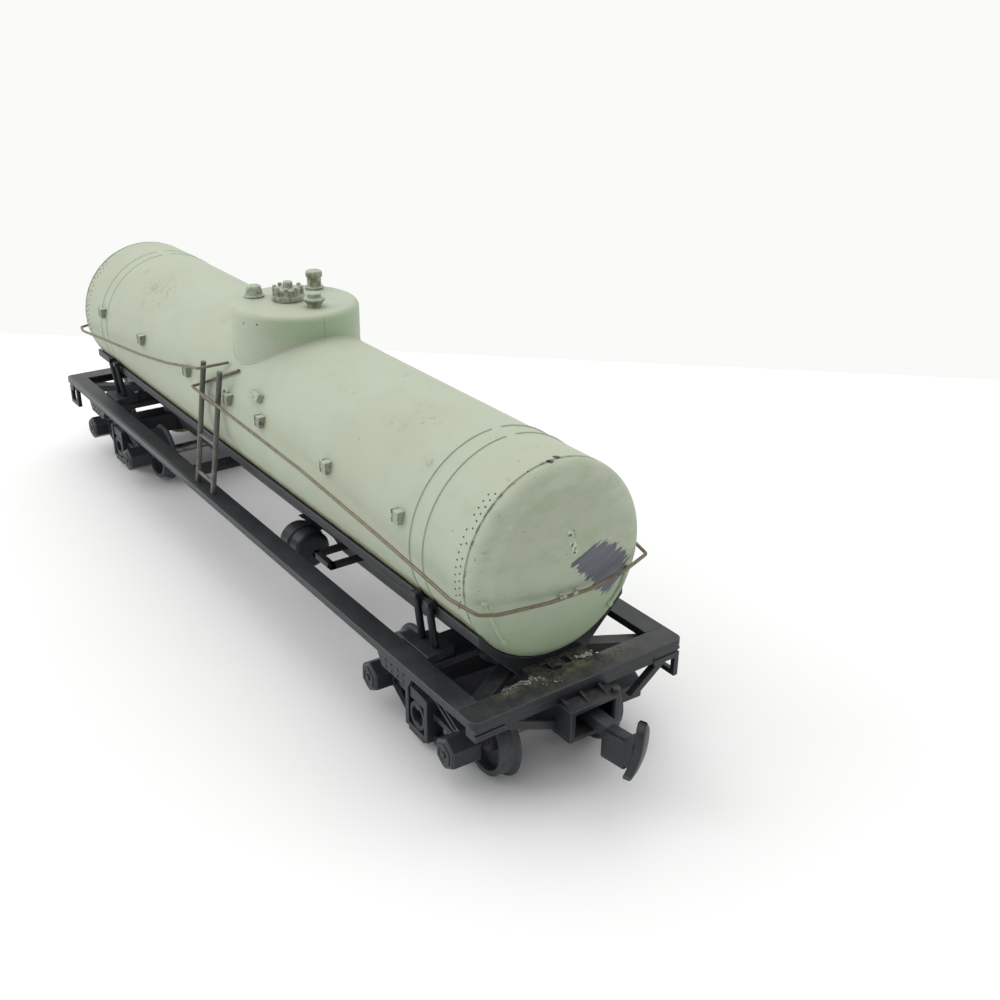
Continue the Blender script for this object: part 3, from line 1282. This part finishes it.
class TANKCAR_OT_small_things(bpy.types.Operator):
    """Rivets on the bolster ends, lids on the journal boxes, crumbs of glue and flecks of paint"""
    bl_idname = "tankcar.small_things"
    bl_label = "Rivets, lids and crumbs"

    def execute(self, context):
        self.web_rivets()
        self.lids()
        self.crumbs()
        self.spare_mouldings()
        return {"FINISHED"}

    def web_rivets(self):
        inner = min(v.co.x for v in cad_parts["bolster_webs"].data.vertices if v.co.x > 0) / MM
        middle = (high("bolster_webs").x + inner) / 2
        face = high("bolster_webs").y
        rivet = lathe((0, 0, 0), Z, RIVET_HEAD, 10)
        smooth(rivet, 60)
        rivets = [stand_on(copy_of(rivet), (middle + x, face, z), Y) for x, z in WEB_RIVETS]
        bpy.data.objects.remove(rivet)
        dress(all_corners(join(rivets)), "bolster_rivets", "car", ["frame_edge"])

    def lids(self):
        for end, sign in (("front", 1), ("rear", -1)):
            outer, inner = (sum(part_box(f"{end}_{place}_axle"), Vector()) / 2
                            for place in ("outer", "inner"))
            along = (outer - inner) * sign
            yaw = math.degrees(math.atan2(along.y, along.x))
            centre = (outer + inner) / 2 / MM
            half = along.length / 2 / MM
            lids = []
            for side in (1, -1):
                for way in (1, -1):
                    lid = lathe((way * half, side * LID_OUT, centre.z), Y * side, LID, 6)
                    smooth(lid, 25)
                    lids.append(lid)
            lids = join(lids)
            place = Matrix.Translation(Vector((centre.x, centre.y, 0)) * MM)
            lids.data.transform(place @ Matrix.Rotation(math.radians(yaw), 4, "Z"))
            dress(lids, f"{end}_journal_lids", end + "_truck", ["truck"])

    def crumbs(self):
        draw = random.Random(11)
        pieces = []
        for x, y, largest, count in CRUMBS:
            for _ in range(count):
                radius = largest * draw.uniform(0.35, 1.0)
                crumb = lump(draw, radius, draw.uniform(0.35, 0.7))
                spot = (x + draw.gauss(0, 0.3), y + draw.gauss(0, 0.9), BOARD_TOP + 0.02)
                pieces.append(stand_on(crumb, spot, Z))
        dress(join(pieces), "old_glue", "car", ["glue"])
        flecks = []
        for y in WIRE_FLECKS:
            for _ in range(3):
                fleck = lump(draw, draw.uniform(0.14, 0.26), 0.6)
                spot = (WIRE_FRONT + 0.22, y + draw.uniform(-0.4, 0.4), self.wire_height(y) + 0.2)
                flecks.append(stand_on(fleck, spot, (1, 0, 0.4)))
        knob = lump(draw, 0.5, 0.7)
        flecks.append(stand_on(knob, KNOB, (0.8, -0.6, 0.1)))
        dress(join(flecks), "paint_flecks", "car", ["tank_paint"])

    def wire_height(self, y):
        """The wire's height where it passes a given y in front of the head."""
        for (_, y0, z0), (_, y1, z1) in zip(WIRE_CORNERS, WIRE_CORNERS[1:]):
            if y0 <= y <= y1 and y1 > y0:
                return z0 + (z1 - z0) * (y - y0) / (y1 - y0)
        return WIRE_CORNERS[len(WIRE_CORNERS) // 2][2]

    def spare_mouldings(self):
        """A few more small mouldings on the -Y side, above the row of brackets."""
        pieces = []
        for x, angle, size in SPARE_MOULDINGS:
            out, spot = on_tank(x, angle)
            piece = block((-size, size), (-size * 0.4, size * 0.4), (-0.2, size * 0.55), 0.12)
            pieces.append(stand_on(piece, spot, out))
        dress(join(pieces), "upper_mouldings", "car", ["fitting"])


# ------------------------------------------------------------------ materials and stage
class TANKCAR_OT_finishes(bpy.types.Operator):
    """Makes every material of the car"""
    bl_idname = "tankcar.finishes"
    bl_label = "Paint and plastic"

    def execute(self, context):
        for make in (paint_tank, paint_brackets, paint_fittings, paint_bare, paint_plastics, paint_wheels,
                     paint_wires, paint_glue):
            make()
        return {"FINISHED"}


CAMERA_AT = Vector((170.69, -84.01, 100.41))    # millimetres
CAMERA_TO = Vector((57.455, 0.0, 33.767))
CAMERA_ROLL = 0.972                             # degrees
CAMERA_LENS = 42.044
TABLE_EDGE = ((-168.5, -9.0), (14.6, 194.4))    # two places on the table's far edge, (x, y)
TABLE_SIZE = 3000.0
WALL_BEHIND = 900.0                             # wall behind the table's far edge
WALL_SIZE = 6000.0
LIT = Vector((0, 0, 0.02))                      # the place that every light faces, in metres
# soft lights: name, place in metres, size in metres, share of the main light's power, colour
LIGHTS = (
    ("ceiling_light", (-0.22, -0.12, 1.0), 1.7, 1.15, (1.0, 0.995, 0.98)),
    ("side_light", (-0.65, -0.8, 0.5), 0.8, 0.46, (0.985, 0.99, 1.0)),
    ("window_light", (0.6, 0.8, 0.5), 0.8, 0.22, (0.985, 0.99, 1.0)),
)


class TANKCAR_OT_stage(bpy.types.Operator):
    """White table, pale wall, soft lights and the camera"""
    bl_idname = "tankcar.stage"
    bl_label = "Stage"

    def execute(self, context):
        look = settings("stage")
        self.table(look)
        self.lights(look)
        self.camera()
        scene = context.scene
        scene.view_settings.view_transform = "Standard"
        scene.view_settings.look = "None"
        return {"FINISHED"}

    def table(self, look):
        """A table whose far edge runs through two given places, and a wall well behind it."""
        paper = Finish("white_table")
        cloud = paper.noise(0.012, 4)
        paper.base = look.floor
        paper.over(shade(look.floor, 0.975), cloud)
        weave = paper.bump(paper.noise(0.5, 3), 0.05, 0.2)
        MATERIALS["table"] = paper.surface(0.6, weave, specular=0.2)
        cloth = Finish("pale_wall")
        base = cloth.mix(look.wall, shade(look.wall, 0.98), cloth.noise(0.003, 3))
        MATERIALS["wall"] = cloth.finished(cloth.node("ShaderNodeEmission", {}, {0: base, 1: 1.0}))
        (x0, y0), (x1, y1) = TABLE_EDGE
        along = Vector((x1 - x0, y1 - y0, 0)).normalized()
        nearer = along.cross(Z)
        middle = Vector((x0, y0, 0)) + nearer * TABLE_SIZE / 2
        turn = math.atan2(along.y, along.x)
        back = Vector((x0, y0, 0)) - nearer * WALL_BEHIND
        for name, finish, size, place, tilt in (("table_top", "table", TABLE_SIZE, middle, 0),
                                                ("back_wall", "wall", WALL_SIZE, back, math.pi / 2)):
            sheet = add("plane", size=size * MM, location=place * MM, rotation=(tilt, 0, turn))
            sheet.name = name
            bake_place(sheet)
            sheet.data.materials.append(MATERIALS[finish])

    def lights(self, look):
        world = bpy.data.worlds.new("room")
        bpy.context.scene.world = world
        world.use_nodes = True
        background = world.node_tree.nodes["Background"]
        background.inputs[0].default_value = (1.0, 1.0, 0.99, 1)
        background.inputs[1].default_value = look.sky
        for name, place, size, share, tint in LIGHTS:
            light = bpy.data.lights.new(name, "AREA")
            light.size = size
            light.energy = look.light * share
            light.color = tint
            lamp = bpy.data.objects.new(name, light)
            bpy.context.scene.collection.objects.link(lamp)
            lamp.location = place
            lamp.rotation_euler = (LIT - Vector(place)).to_track_quat("-Z", "Y").to_euler()

    def camera(self):
        back = (CAMERA_AT - CAMERA_TO).normalized()
        right = Z.cross(back).normalized()
        up = back.cross(right)
        roll = math.radians(CAMERA_ROLL)
        across = right * math.cos(roll) + up * math.sin(roll)
        upward = up * math.cos(roll) - right * math.sin(roll)
        data = bpy.data.cameras.new("camera")
        data.lens = CAMERA_LENS
        data.sensor_width = 36.0
        data.clip_start, data.clip_end = 0.005, 20.0
        camera = bpy.data.objects.new("camera", data)
        bpy.context.scene.collection.objects.link(camera)
        camera.matrix_world = Matrix.Translation(CAMERA_AT * MM) @ Matrix(
            (across, upward, back)).transposed().to_4x4()
        bpy.context.scene.camera = camera


class TANKCAR_PT_panel(bpy.types.Panel):
    bl_label = "Tank Car"
    bl_idname = "TANKCAR_PT_panel"
    bl_space_type = "VIEW_3D"
    bl_region_type = "UI"
    bl_category = "Tank Car"

    def draw(self, context):
        for group, kind in SETTINGS.items():
            box = self.layout.box()
            box.label(text=group.replace("_", " ").title())
            for name in kind.__annotations__:
                box.prop(settings(group), name)
        for operator in OPERATORS:
            self.layout.operator(operator.bl_idname)


OPERATORS = (TANKCAR_OT_finishes, TANKCAR_OT_tank, TANKCAR_OT_tank_trim, TANKCAR_OT_dome,
             TANKCAR_OT_wires, TANKCAR_OT_ladders, TANKCAR_OT_frame, TANKCAR_OT_couplers,
             TANKCAR_OT_trucks, TANKCAR_OT_wheels, TANKCAR_OT_small_things, TANKCAR_OT_stage)
CLASSES = (*SETTINGS.values(), *OPERATORS, TANKCAR_PT_panel)


def register():
    for kind in CLASSES:
        bpy.utils.register_class(kind)
    for group, kind in SETTINGS.items():
        setattr(bpy.types.Scene, "tank_car_" + group, PointerProperty(type=kind))


def unregister():
    for group in SETTINGS:
        delattr(bpy.types.Scene, "tank_car_" + group)
    for kind in reversed(CLASSES):
        bpy.utils.unregister_class(kind)


def main():
    register()
    for operator in OPERATORS:
        group, name = operator.bl_idname.split(".")
        getattr(getattr(bpy.ops, group), name)()
    deselect()


if __name__ == "__main__":
    main()
